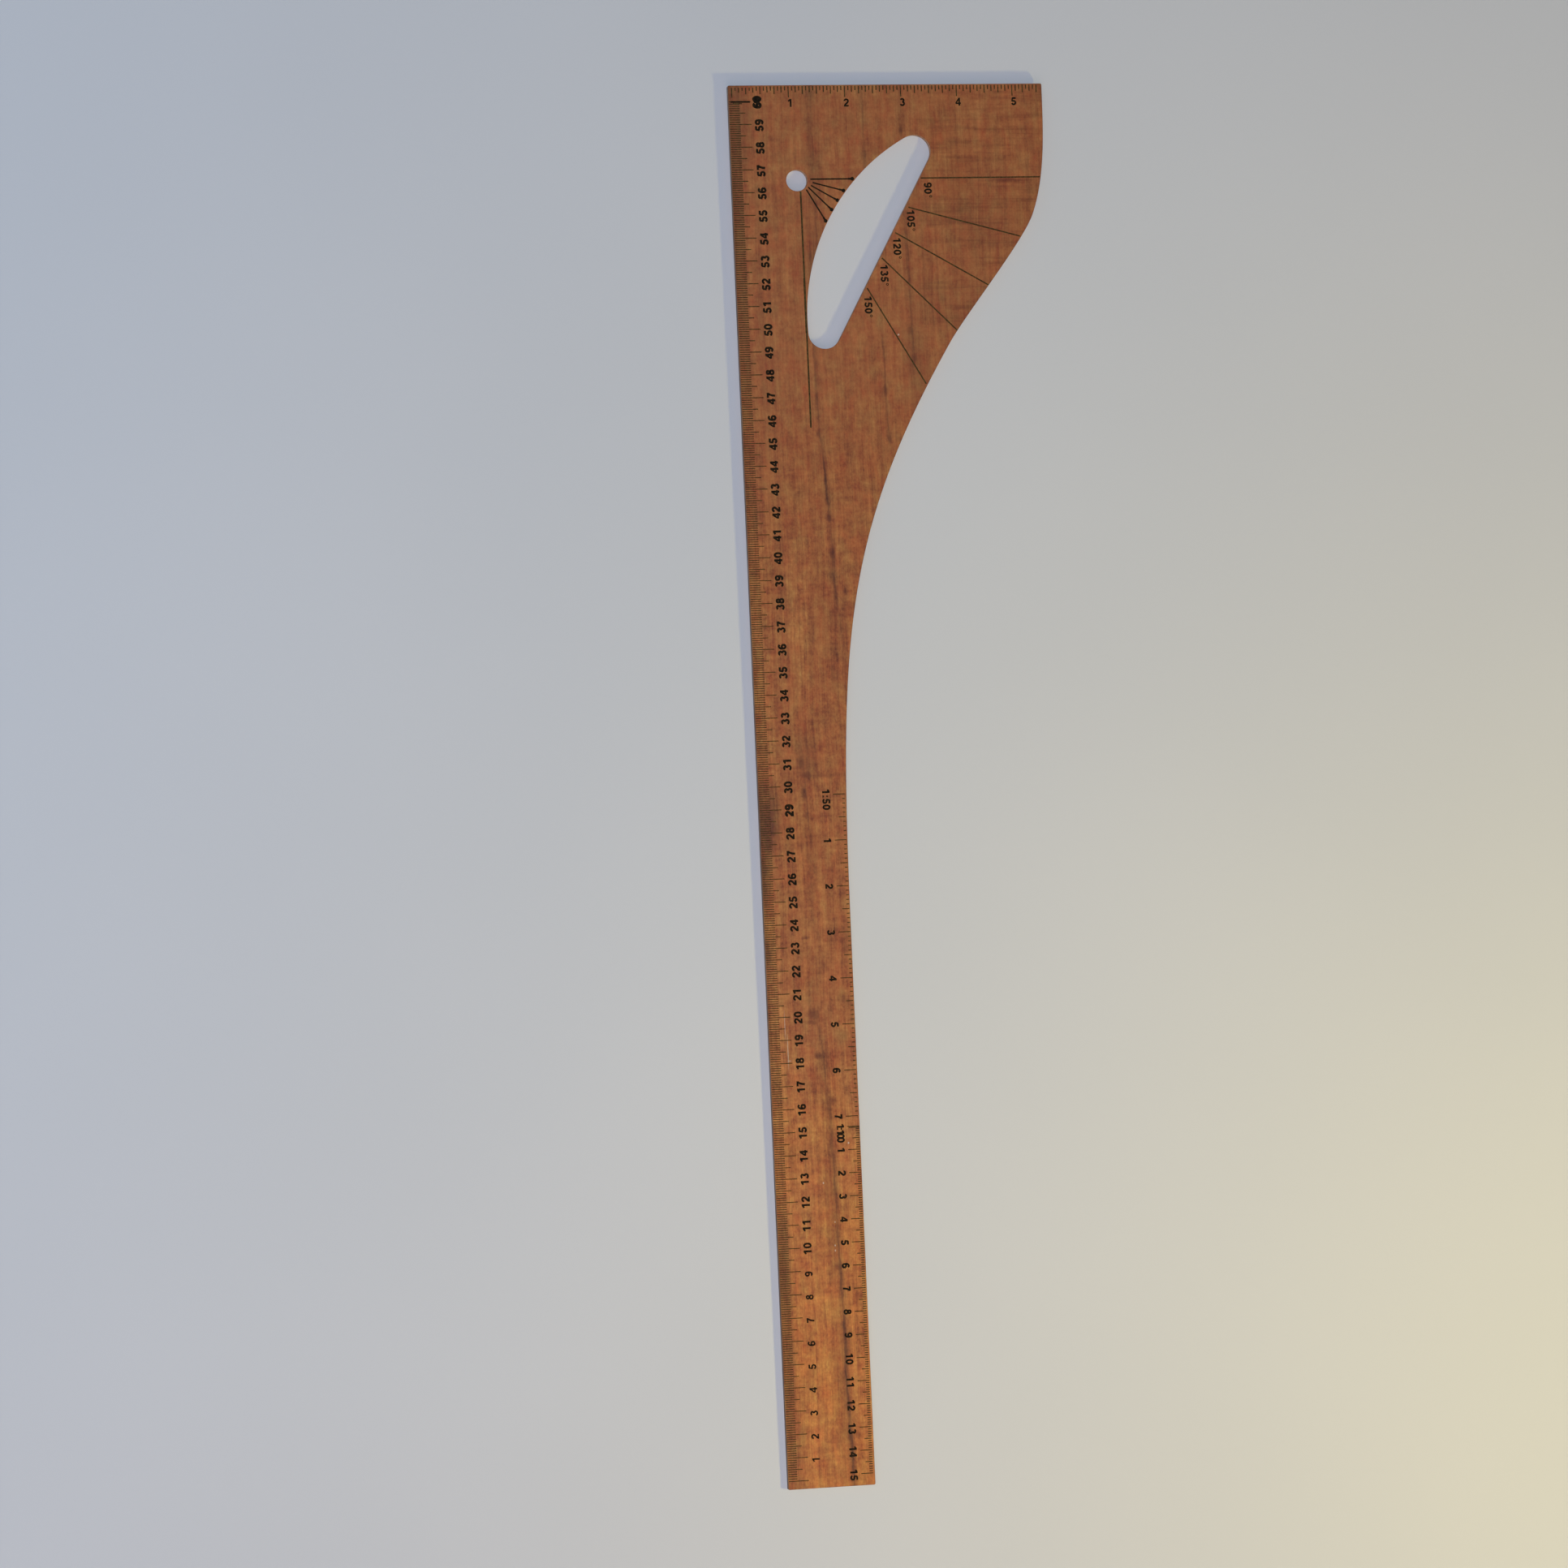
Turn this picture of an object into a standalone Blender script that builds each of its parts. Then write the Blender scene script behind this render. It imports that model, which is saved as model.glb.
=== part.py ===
"""One-piece drawing square of thin plywood: a long straight stem that widens into a broad head.

The board lies flat with its marked face up. X runs across the board, from the straight ruling
edge towards the head's curved side. Y runs along the ruling edge, from the stem's foot to the
head. Z is up. The origin is the centre of the board's bounding box, on the surface it rests on.

The board is three plies with a thin line of glue between them: a face veneer and a back veneer
whose grain runs along Y, and a thicker core whose grain runs across. All three share one cut
outline, one finger slot and one round hanging hole.
"""

import math

import bmesh
import bpy
from mathutils import Vector

MM = 0.001

# Driving sizes of the board.
SCALE_LENGTH = 600 * MM        # length that the long scale measures, zero mark to last mark
FOOT_MARGIN = 3.6 * MM         # wood past the zero mark
HEAD_MARGIN = 7.2 * MM         # wood past the last mark
HEAD_WIDTH = 141.2 * MM
STEM_WIDTH = 38.4 * MM
CORNER_RADIUS = 0.6 * MM       # the square corners are only just eased

# Driving sizes of the lay-up.
VENEER_THICKNESS = 0.6 * MM
CORE_THICKNESS = 1.7 * MM
GLUE_LINE = 0.05 * MM

# The curved side: three spans that meet smoothly, from the head's outer corner down to the stem.
# Each point is (distance from the ruling edge, height above the zero mark).
SIDE_TOP = (HEAD_WIDTH, 602.0 * MM)
SHOULDER = (134.5 * MM, 549.0 * MM)
FLANK = (94.5 * MM, 492.7 * MM)
WAIST_END = (STEM_WIDTH, 237.0 * MM)
SIDE_SPANS = (
    (SIDE_TOP, (141.1 * MM, 588.0 * MM), (141.3 * MM, 566.0 * MM), SHOULDER),
    (SHOULDER, (129.6 * MM, 536.8 * MM), (102.5 * MM, 505.6 * MM), FLANK),
    (FLANK, (43.1 * MM, 409.5 * MM), (STEM_WIDTH, 363.2 * MM), WAIST_END),
)
SIDE_SEGMENTS = (10, 12, 22)

# The finger slot: one long arc and one straight side, joined by a round nose at each end.
SLOT_ARC_CENTRE = (122.9 * MM, 503.4 * MM)
SLOT_ARC_RADIUS = 91.9 * MM
SLOT_SIDE_ANGLE = math.radians(61.1)         # the straight side's slope from X
SLOT_SIDE_POINT = (65.5 * MM, 532.1 * MM)    # any point on the straight side
SLOT_NOSE_RADIUS = 7.3 * MM
SLOT_ARC_SEGMENTS = 18
SLOT_NOSE_SEGMENTS = 10

# The hanging hole.
HOLE_CENTRE = (29.0 * MM, 565.2 * MM)
HOLE_RADIUS = 4.75 * MM
HOLE_SEGMENTS = 32

CORNER_SEGMENTS = 3

BOARD_LENGTH = FOOT_MARGIN + SCALE_LENGTH + HEAD_MARGIN
THICKNESS = 2 * VENEER_THICKNESS + CORE_THICKNESS + 2 * GLUE_LINE


def clear_scene():
    for item in list(bpy.data.objects):
        bpy.data.objects.remove(item, do_unlink=True)


def make_material(name, colour, roughness):
    material = bpy.data.materials.new(name)
    material.use_nodes = True
    shader = material.node_tree.nodes["Principled BSDF"]
    shader.inputs["Base Color"].default_value = (*colour, 1.0)
    shader.inputs["Roughness"].default_value = roughness
    shader.inputs["Metallic"].default_value = 0.0
    return material


def from_mark(point):
    """Turn (distance from the ruling edge, height above the zero mark) into part coordinates."""
    return Vector((point[0] - HEAD_WIDTH / 2, point[1] + FOOT_MARGIN - BOARD_LENGTH / 2))


def arc(centre, radius, start, end, segments):
    """Points on a circle from one angle to another, both ends included."""
    points = []
    for index in range(segments + 1):
        angle = start + (end - start) * index / segments
        points.append(centre + radius * Vector((math.cos(angle), math.sin(angle))))
    return points


def bezier(span, segments):
    """Points on one cubic span, without its first point."""
    a, b, c, d = (from_mark(point) for point in span)
    points = []
    for index in range(1, segments + 1):
        t = index / segments
        u = 1 - t
        points.append(u ** 3 * a + 3 * u * u * t * b + 3 * u * t * t * c + t ** 3 * d)
    return points


def board_outline():
    """The outside of the board, clockwise from the foot of the ruling edge."""
    left = -HEAD_WIDTH / 2
    right = HEAD_WIDTH / 2
    stem_right = left + STEM_WIDTH
    top = BOARD_LENGTH / 2
    foot = -BOARD_LENGTH / 2
    r = CORNER_RADIUS
    quarter = math.pi / 2
    points = []
    points += arc(Vector((left + r, foot + r)), r, -quarter, -2 * quarter, CORNER_SEGMENTS)
    points += arc(Vector((left + r, top - r)), r, 2 * quarter, quarter, CORNER_SEGMENTS)
    points += arc(Vector((right - r, top - r)), r, quarter, 0.0, CORNER_SEGMENTS)
    points.append(from_mark(SIDE_TOP))
    for span, segments in zip(SIDE_SPANS, SIDE_SEGMENTS):
        points += bezier(span, segments)
    points += arc(Vector((stem_right - r, foot + r)), r, 0.0, -quarter, CORNER_SEGMENTS)
    return points


def nose_centre(along, out, end):
    """Centre of the circle that touches the slot's straight side and the inside of its long arc.

    along and out are the straight side's direction and its outward normal. end is +1 for the
    nose nearer the head and -1 for the one nearer the stem.
    """
    base = from_mark(SLOT_SIDE_POINT) - out * SLOT_NOSE_RADIUS
    reach = SLOT_ARC_RADIUS - SLOT_NOSE_RADIUS
    offset = base - from_mark(SLOT_ARC_CENTRE)
    half = offset.dot(along)
    root = math.sqrt(half * half - offset.length_squared + reach * reach)
    return base + along * (end * root - half)


def slot_outline():
    """The finger slot, anticlockwise from the head end of its straight side."""
    along = Vector((math.cos(SLOT_SIDE_ANGLE), math.sin(SLOT_SIDE_ANGLE)))
    out = Vector((along.y, -along.x))
    arc_centre = from_mark(SLOT_ARC_CENTRE)
    head_nose = nose_centre(along, out, 1)
    stem_nose = nose_centre(along, out, -1)
    side = SLOT_SIDE_ANGLE - math.pi / 2
    towards_head = head_nose - arc_centre
    towards_stem = stem_nose - arc_centre
    head_joint = math.atan2(towards_head.y, towards_head.x) % math.tau
    stem_joint = math.atan2(towards_stem.y, towards_stem.x) % math.tau
    points = arc(head_nose, SLOT_NOSE_RADIUS, side, head_joint, SLOT_NOSE_SEGMENTS)
    points += arc(arc_centre, SLOT_ARC_RADIUS, head_joint, stem_joint, SLOT_ARC_SEGMENTS)[1:]
    points += arc(stem_nose, SLOT_NOSE_RADIUS, stem_joint, side + math.tau, SLOT_NOSE_SEGMENTS)[1:]
    return points


def hole_outline():
    return arc(from_mark(HOLE_CENTRE), HOLE_RADIUS, 0.0, math.tau, HOLE_SEGMENTS)[:-1]


def make_ply(name, floor, thickness, material, parent):
    """One ply: the filled outline with its slot and hole, given its thickness upwards."""
    mesh = bpy.data.meshes.new(name)
    shape = bmesh.new()
    edges = []
    for loop in (board_outline(), slot_outline(), hole_outline()):
        corners = [shape.verts.new((point.x, point.y, 0.0)) for point in loop]
        for index, corner in enumerate(corners):
            edges.append(shape.edges.new((corners[index - 1], corner)))
    bmesh.ops.triangle_fill(shape, use_beauty=True, edges=edges, normal=(0.0, 0.0, 1.0))
    lifted = bmesh.ops.extrude_face_region(shape, geom=shape.faces[:])
    raised = [item for item in lifted["geom"] if isinstance(item, bmesh.types.BMVert)]
    bmesh.ops.translate(shape, vec=(0.0, 0.0, thickness), verts=raised)
    bmesh.ops.recalc_face_normals(shape, faces=shape.faces[:])
    shape.to_mesh(mesh)
    shape.free()
    mesh.materials.append(material)
    ply = bpy.data.objects.new(name, mesh)
    bpy.context.scene.collection.objects.link(ply)
    ply.parent = parent
    ply.location = (0.0, 0.0, floor)
    return ply


def make_board():
    board = bpy.data.objects.new("drawing_square", None)
    bpy.context.scene.collection.objects.link(board)
    face_wood = make_material("face_veneer", (0.28, 0.105, 0.047), 0.45)
    core_wood = make_material("core_ply", (0.36, 0.19, 0.09), 0.7)
    back_wood = make_material("back_veneer", (0.32, 0.14, 0.065), 0.55)
    core_floor = VENEER_THICKNESS + GLUE_LINE
    face_floor = THICKNESS - VENEER_THICKNESS
    make_ply("back_veneer", 0.0, VENEER_THICKNESS, back_wood, board)
    make_ply("core_ply", core_floor, CORE_THICKNESS, core_wood, board)
    make_ply("face_veneer", face_floor, VENEER_THICKNESS, face_wood, board)


clear_scene()
make_board()
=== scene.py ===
"""Looks for the wooden drawing square: three plies, two glue films and the engraved scales.

Lengths are millimetres unless a name says otherwise, and mesh points are turned into metres once,
in make_piece. Board positions are (distance from the ruling edge, height above the zero mark),
as in the part's source. Heights are measured from the surface that the board lies on.
"""

import math

import bpy
import numpy as np
from mathutils import Matrix, Quaternion, Vector, geometry


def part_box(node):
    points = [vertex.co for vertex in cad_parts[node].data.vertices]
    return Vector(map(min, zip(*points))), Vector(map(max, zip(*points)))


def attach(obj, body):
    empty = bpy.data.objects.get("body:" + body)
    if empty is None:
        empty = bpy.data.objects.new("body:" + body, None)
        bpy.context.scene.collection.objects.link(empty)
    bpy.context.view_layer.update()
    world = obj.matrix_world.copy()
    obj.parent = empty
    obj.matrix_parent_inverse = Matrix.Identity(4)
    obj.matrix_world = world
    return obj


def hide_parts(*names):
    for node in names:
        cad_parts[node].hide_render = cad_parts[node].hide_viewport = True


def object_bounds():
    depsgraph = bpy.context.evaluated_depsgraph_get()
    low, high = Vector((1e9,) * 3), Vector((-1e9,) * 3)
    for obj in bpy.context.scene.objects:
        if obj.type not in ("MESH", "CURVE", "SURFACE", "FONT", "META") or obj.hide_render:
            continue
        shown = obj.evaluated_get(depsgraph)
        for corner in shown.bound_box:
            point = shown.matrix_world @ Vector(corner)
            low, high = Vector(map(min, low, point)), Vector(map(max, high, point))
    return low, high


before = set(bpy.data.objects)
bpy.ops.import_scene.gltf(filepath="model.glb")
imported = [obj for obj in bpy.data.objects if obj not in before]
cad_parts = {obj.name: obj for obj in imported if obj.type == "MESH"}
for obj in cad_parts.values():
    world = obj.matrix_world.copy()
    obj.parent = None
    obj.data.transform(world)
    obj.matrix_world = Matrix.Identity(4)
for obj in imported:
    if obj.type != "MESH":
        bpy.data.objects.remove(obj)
CAD_LOW, CAD_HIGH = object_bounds()

MM = 0.001
PER_METRE = 1000.0

# ---------------------------------------------------------------- sizes shared with the part

FOOT_MARGIN = 3.6
HEAD_WIDTH = (CAD_HIGH.x - CAD_LOW.x) * PER_METRE
BOARD_LENGTH = (CAD_HIGH.y - CAD_LOW.y) * PER_METRE
STEM_WIDTH = 38.4
CORNER_RADIUS = 0.6
HEAD_TOP = BOARD_LENGTH - FOOT_MARGIN
MARK_ORIGIN = Vector((CAD_LOW.x * PER_METRE, CAD_LOW.y * PER_METRE + FOOT_MARGIN))

SIDE_SPANS = (
    ((HEAD_WIDTH, 602.0), (141.1, 588.0), (141.3, 566.0), (134.5, 549.0)),
    ((134.5, 549.0), (129.6, 536.8), (102.5, 505.6), (94.5, 492.7)),
    ((94.5, 492.7), (43.1, 409.5), (STEM_WIDTH, 363.2), (STEM_WIDTH, 237.0)),
)
SIDE_SEGMENTS = (24, 36, 64)

SLOT_ARC_CENTRE = (122.9, 503.4)
SLOT_ARC_RADIUS = 91.9
SLOT_SIDE_ANGLE = math.radians(61.1)
SLOT_SIDE_POINT = (65.5, 532.1)
SLOT_NOSE_RADIUS = 7.3
HOLE_CENTRE = (29.0, 565.2)
HOLE_RADIUS = 4.75

# ---------------------------------------------------------------- finish of the cut board

EDGE_EASE = 0.16               # the face's and the back's cut corners are rubbed to this radius
OUTER_EDGE_BAND = 0.75             # the tint near the outer edge fades out this far in
GLUE_RECESS = 0.04             # the glue burns back a little behind the plies
GROOVE_DEPTH = 0.07            # the laser's marks
GROOVE_SLOPE = 0.07            # width of a groove's sloping side
CHAR_LAYER = 0.03              # burnt wood left standing in the groove
CHAR_ROOT = 0.04               # how far the burnt wood reaches below the groove's floor
MARK_CLEARANCE = 0.22          # marks stop this far inside the board's edge

# ---------------------------------------------------------------- camera and studio

CAMERA_EYE = (-0.4702, -0.0899, 2.0767)
CAMERA_TARGET = (-0.0591, -0.0006, 0.0030)
CAMERA_ROLL = math.radians(2.5013)
FOCAL_LENGTH = 111.8
SENSOR_WIDTH = 36.0
FLOOR_HALF_WIDTH = 5000.0
# The floor falls away towards the head, which makes the board's shadow wider there.
FLOOR_DROP = 0.3               # the gap under the board at the zero mark
FLOOR_SLOPE = 0.0045           # how much the gap grows for each millimetre towards the head


def metres(point, height):
    """A board position and a height, in millimetres, as a point in the row frame in metres."""
    return Vector((
        (MARK_ORIGIN.x + point[0]) * MM,
        (MARK_ORIGIN.y + point[1]) * MM,
        CAD_LOW.z + height * MM,
    ))


def srgb(red, green, blue):
    """A colour given as 0 to 255 screen values, in Blender's linear values."""
    linear = []
    for value in (red, green, blue):
        share = value / 255
        linear.append(share / 12.92 if share <= 0.04045 else ((share + 0.055) / 1.055) ** 2.4)
    return (*linear, 1.0)


# ---------------------------------------------------------------- the board's cut outlines


def arc(centre, radius, start, end, segments, radius_y=None):
    """Points on a circle or ellipse from one angle to another, both ends included."""
    points = []
    for index in range(segments + 1):
        angle = start + (end - start) * index / segments
        offset = Vector((radius * math.cos(angle), (radius_y or radius) * math.sin(angle)))
        points.append(Vector(centre) + offset)
    return points


def bezier(span, segments):
    """Points on one cubic span, without its first point."""
    a, b, c, d = (Vector(point) for point in span)
    points = []
    for index in range(1, segments + 1):
        t = index / segments
        u = 1 - t
        points.append(u ** 3 * a + 3 * u * u * t * b + 3 * u * t * t * c + t ** 3 * d)
    return points


def board_outline():
    """The outside of the board, anticlockwise."""
    foot = -FOOT_MARGIN
    r = CORNER_RADIUS
    quarter = math.pi / 2
    points = arc((r, foot + r), r, -quarter, -2 * quarter, 6)
    points += arc((r, HEAD_TOP - r), r, 2 * quarter, quarter, 6)
    points += arc((HEAD_WIDTH - r, HEAD_TOP - r), r, quarter, 0.0, 6)
    points.append(Vector(SIDE_SPANS[0][0]))
    for span, segments in zip(SIDE_SPANS, SIDE_SEGMENTS):
        points += bezier(span, segments)
    points += arc((STEM_WIDTH - r, foot + r), r, 0.0, -quarter, 6)
    return points[::-1]


def nose_centre(along, out, end):
    """Centre of the circle that touches the slot's straight side and its long arc from inside."""
    base = Vector(SLOT_SIDE_POINT) - out * SLOT_NOSE_RADIUS
    reach = SLOT_ARC_RADIUS - SLOT_NOSE_RADIUS
    offset = base - Vector(SLOT_ARC_CENTRE)
    half = offset.dot(along)
    root = math.sqrt(half * half - offset.length_squared + reach * reach)
    return base + along * (end * root - half)


def slot_outline():
    """The finger slot, anticlockwise from the head end of its straight side."""
    along = Vector((math.cos(SLOT_SIDE_ANGLE), math.sin(SLOT_SIDE_ANGLE)))
    out = Vector((along.y, -along.x))
    centre = Vector(SLOT_ARC_CENTRE)
    head_nose = nose_centre(along, out, 1)
    stem_nose = nose_centre(along, out, -1)
    side = SLOT_SIDE_ANGLE - math.pi / 2
    head_joint = math.atan2(*(head_nose - centre).yx) % math.tau
    stem_joint = math.atan2(*(stem_nose - centre).yx) % math.tau
    points = arc(head_nose, SLOT_NOSE_RADIUS, side, head_joint, 20)
    points += arc(centre, SLOT_ARC_RADIUS, head_joint, stem_joint, 48)[1:]
    points += arc(stem_nose, SLOT_NOSE_RADIUS, stem_joint, side + math.tau, 20)[1:]
    return points


def hole_outline():
    return arc(HOLE_CENTRE, HOLE_RADIUS, 0.0, math.tau, 64)[:-1]


OUTLINES = (board_outline(), slot_outline(), hole_outline())
INTO_WOOD = (1.0, -1.0, -1.0)  # which side of each anticlockwise outline the wood is on


def shifted(outline, distance):
    """The outline moved sideways by a distance, to the left of its direction of travel."""
    moved = []
    count = len(outline)
    for index, point in enumerate(outline):
        before = (point - outline[index - 1]).normalized()
        after = (outline[(index + 1) % count] - point).normalized()
        along = (before + after).normalized()
        reach = distance / max(0.5, along.dot(after))
        moved.append(point + reach * Vector((-along.y, along.x)))
    return moved


def cut_loops(inset):
    """All three cut outlines, moved into the wood by an inset."""
    return [shifted(loop, side * inset) for loop, side in zip(OUTLINES, INTO_WOOD)]


# ---------------------------------------------------------------- strokes of the engraved marks


class Stroke:
    """One laser stroke: a line of points with a width. A ring's stroke has no end to trim.

    A deep stroke is burnt nearly black, and the others are only scorched.
    """

    def __init__(self, points, width, ring=False, deep=False):
        self.points = [Vector(point) for point in points]
        self.width = width
        self.ring = ring
        self.deep = deep

    def outline(self, shrink):
        """The stroke's outline, anticlockwise, drawn in by shrink from its full width."""
        points = list(self.points)
        if shrink and not self.ring:
            points[0] = points[0] + shrink * (points[1] - points[0]).normalized()
            points[-1] = points[-1] + shrink * (points[-2] - points[-1]).normalized()
        half = self.width / 2 - shrink
        right, left = [], []
        for index, point in enumerate(points):
            before = points[max(index - 1, 0)]
            after = points[min(index + 1, len(points) - 1)]
            along = (after - before).normalized()
            across = half * Vector((-along.y, along.x))
            right.append(point - across)
            left.append(point + across)
        return right + left[::-1]


class Dot(Stroke):
    """A round spot, burnt as one filled circle."""

    def outline(self, shrink):
        return arc(self.points[0], self.width / 2 - shrink, 0.0, math.tau, 18)[:-1]


def ring(centre, radius_x, radius_y, width):
    """A closed ring, as two half turns whose ends share their edges."""
    return [
        (arc(centre, radius_x, start, start + math.pi, 9, radius_y), width, True)
        for start in (0.0, math.pi)
    ]


def sweep(centre, radius_x, radius_y, start, end, segments=10):
    """Points on part of an ellipse, between angles in degrees."""
    return arc(centre, radius_x, math.radians(start), math.radians(end), segments, radius_y)


# Plain bold numerals on a cap height of 1. Each entry is the strokes' centre lines.
PEN = 0.232
NUMERAL_ADVANCE = 0.776
ADVANCES = {":": 0.465, "°": 0.56}
SIX = ring((0.395, 0.315), 0.228, 0.225, PEN) + [
    (sweep((0.415, 0.5), 0.252, 0.41, 42, 205, 12), PEN, False),
]


def half_turned(strokes):
    """The same strokes turned upside down about the middle of a numeral's box."""
    return [
        ([Vector((0.776 - point[0], 1.0 - point[1])) for point in points], width, closed)
        for points, width, closed in strokes
    ]


GLYPHS = {
    "0": ring((0.388, 0.5), 0.238, 0.41, PEN),
    "1": [([(0.465, 0.0), (0.465, 1.0)], PEN, False),
          ([(0.13, 0.725), (0.28, 0.79), (0.40, 0.90)], PEN * 0.9, False)],
    "2": [(sweep((0.385, 0.69), 0.225, 0.215, 182, -28)
           + [Vector((0.44, 0.42)), Vector((0.23, 0.22)), Vector((0.17, 0.10))], PEN, False),
          ([(0.07, 0.088), (0.685, 0.088)], PEN * 0.93, False)],
    "3": [(sweep((0.375, 0.74), 0.205, 0.168, 165, -90), PEN, False),
          (sweep((0.38, 0.305), 0.24, 0.215, 90, -168), PEN, False)],
    "4": [([(0.52, 0.95), (0.10, 0.33)], PEN * 0.8, False),
          ([(0.04, 0.295), (0.74, 0.295)], PEN * 0.85, False),
          ([(0.535, 0.0), (0.535, 1.0)], PEN, False)],
    "5": [([(0.22, 0.905), (0.68, 0.905)], PEN, False),
          ([(0.245, 0.95), (0.165, 0.47)], PEN * 0.85, False),
          (sweep((0.375, 0.325), 0.24, 0.232, 138, -166), PEN, False)],
    "6": SIX,
    "7": [([(0.08, 0.905), (0.69, 0.905)], PEN, False),
          ([(0.61, 0.90), (0.46, 0.66), (0.36, 0.36), (0.32, 0.0)], PEN, False)],
    "8": ring((0.388, 0.735), 0.19, 0.172, PEN) + ring((0.388, 0.295), 0.235, 0.205, PEN),
    "9": half_turned(SIX),
    ":": [([(0.235, 0.02), (0.235, 0.21)], PEN, False),
          ([(0.235, 0.53), (0.235, 0.72)], PEN, False)],
    "°": ring((0.27, 0.83), 0.125, 0.125, 0.09),
}


def written(text, start, reading, height, weight=1.0, spacing=1.0):
    """Strokes of a number. start is the baseline's beginning, reading its direction in degrees."""
    along = Vector((math.cos(math.radians(reading)), math.sin(math.radians(reading))))
    above = Vector((-along.y, along.x))
    pen = Vector(start)
    strokes = []
    for character in text:
        for points, width, closed in GLYPHS[character]:
            placed = [pen + height * (point[0] * along + point[1] * above) for point in points]
            strokes.append(Stroke(placed, width * height * weight, closed, True))
        pen = pen + along * height * spacing * ADVANCES.get(character, NUMERAL_ADVANCE)
    return strokes


# ---------------------------------------------------------------- the scales

TICK = 0.36
FINE_TICK = 0.38
INCH_TICK = 0.5
HEAVY_TICK = 0.06              # how much wider the ticks nearest the head are
HEAVY_FROM = 460
CENTIMETRE_REACH = 9.9
HALF_REACH = 7.3
MILLIMETRE_REACH = 4.9
CAP = 3.6
UPWARD = 90.0
DOWNWARD = -90.0
SCALE_MIDDLE = 300.0
FOOT_DRIFT = -0.8


def drift(height):
    """How much nearer the ruling edge a mark ends: nothing above the middle, most at zero."""
    return FOOT_DRIFT * (max(SCALE_MIDDLE - height, 0.0) / SCALE_MIDDLE) ** 2


def centimetre_scale():
    """A tick at each of 600 millimetres and at zero, and a number at each centimetre."""
    strokes = []
    for step in range(601):
        reach = MILLIMETRE_REACH
        if step % 10 == 0:
            reach = CENTIMETRE_REACH
        elif step % 5 == 0:
            reach = HALF_REACH
        width = TICK + HEAVY_TICK * (step > HEAVY_FROM)
        end = reach + drift(step)
        strokes.append(Stroke([(MARK_CLEARANCE, step), (end, step)], width))
    strokes.append(Stroke([(0.9, 599.95), (9.6, 599.95)], 0.8, False, True))
    strokes.append(Stroke([(1.9, 599.2), (6.0, 599.2)], 0.5))
    for number in range(1, 61):
        tick = 10.0 * number
        base = 15.1 + 1.05 * drift(tick)
        if number < 10:
            strokes += written(str(number), (base, tick - 2.6), UPWARD, 3.4, 0.92)
        elif number < 60:
            weight = 1.35 if number == 29 else 1.03 + number / 300
            strokes += written(str(number), (base, tick - 3.2), UPWARD, CAP, weight)
    strokes += written("60", (14.5, 596.95), UPWARD, CAP, 1.5)
    strokes.append(Dot([(12.55, 600.9)], 3.5, False, True))
    return strokes


# The inch marks as they appear on the board, which is a little less than a true inch apart.
INCH = 25.2
INCH_START = 1.63
INCH_MARKS = 5
INCH_END_MARGIN = 1.5


def inch_scale():
    """Sixteenths along the head's top edge, with a number at each inch."""
    strokes = []
    step = 0
    while INCH_START + step * INCH / 16 < HEAD_WIDTH - INCH_END_MARGIN:
        across = INCH_START + step * INCH / 16
        pattern = step if step <= 16 * INCH_MARKS else step + 1
        reach = 2.4
        for division, longer in ((2, 3.2), (4, 3.9), (16, 5.4)):
            if pattern % division == 0:
                reach = longer
        start = HEAD_TOP - (1.0 if across < 12.0 else 0.5)
        strokes.append(Stroke([(across, start), (across, HEAD_TOP - reach)], INCH_TICK))
        step += 1
    for number in range(1, INCH_MARKS + 1):
        left = INCH_START + number * INCH - 0.75
        strokes += written(str(number), (left, HEAD_TOP - 9.6), 0.0, 3.5)
    return strokes


def site_scale(zero, unit, small, count, start_x, end_drift, small_reach):
    """A drawing scale on the stem's right edge, read downwards from its zero."""
    strokes = []
    steps = round(count * unit / small)
    per_unit = round(unit / small)
    for step in range(steps + 1):
        slide = end_drift * step / steps
        reach = small_reach
        if step % per_unit == 0:
            reach = 5.3
        elif 2 * step % per_unit == 0:
            reach = 3.2
        end = min(start_x + slide, STEM_WIDTH - MARK_CLEARANCE)
        height = zero - step * small
        strokes.append(Stroke([(start_x + slide - reach, height), (end, height)], FINE_TICK))
    for number in range(1, count + 1):
        slide = end_drift * number / count
        height = zero - number * unit
        lead = 1.25 if number < 10 else 2.3
        start = (28.1 + 1.3 * slide, height + lead)
        strokes += written(str(number), start, DOWNWARD, 3.35, 1.12)
    return strokes


def stem_scales():
    strokes = site_scale(296.0, 20.0, 2.0, 7, 38.3, -0.5, 1.25)
    strokes += written("1:50", (28.2, 298.6), DOWNWARD, 3.4, 1.1)
    strokes += site_scale(151.5, 10.0, 1.0, 15, 38.15, -0.55, 1.6)
    strokes.append(Stroke([(33.4, 151.05), (38.1, 151.05)], FINE_TICK))
    strokes += written("1:100", (28.1, 153.1), DOWNWARD, 3.35, 1.1, 0.64)
    return strokes


# The angle rays leave one point at the hanging hole. Each row is the angle, the lengths at which
# the ray meets the slot's far side and the board's edge, and those of its short inner part.
RAY_POINT = Vector((30.41, 565.63))
RAYS = (
    (90, 54.1, 108.2, 4.6, 23.4),
    (105, 49.7, 101.3, 5.8, 19.9),
    (120, 48.0, 95.3, 5.5, 18.8),
    (135, 49.6, 95.6, 4.9, 19.1),
    (150, 55.7, 105.0, 5.2, 21.3),
)
RAY_WIDTH = 0.60
DOT_WIDTH = 1.7
RAY_LABELS = (
    ("90°", (85.9, 563.8)),
    ("105°", (77.6, 551.8)),
    ("120°", (70.9, 539.6)),
    ("135°", (64.6, 527.8)),
    ("150°", (56.8, 514.0)),
)


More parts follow.
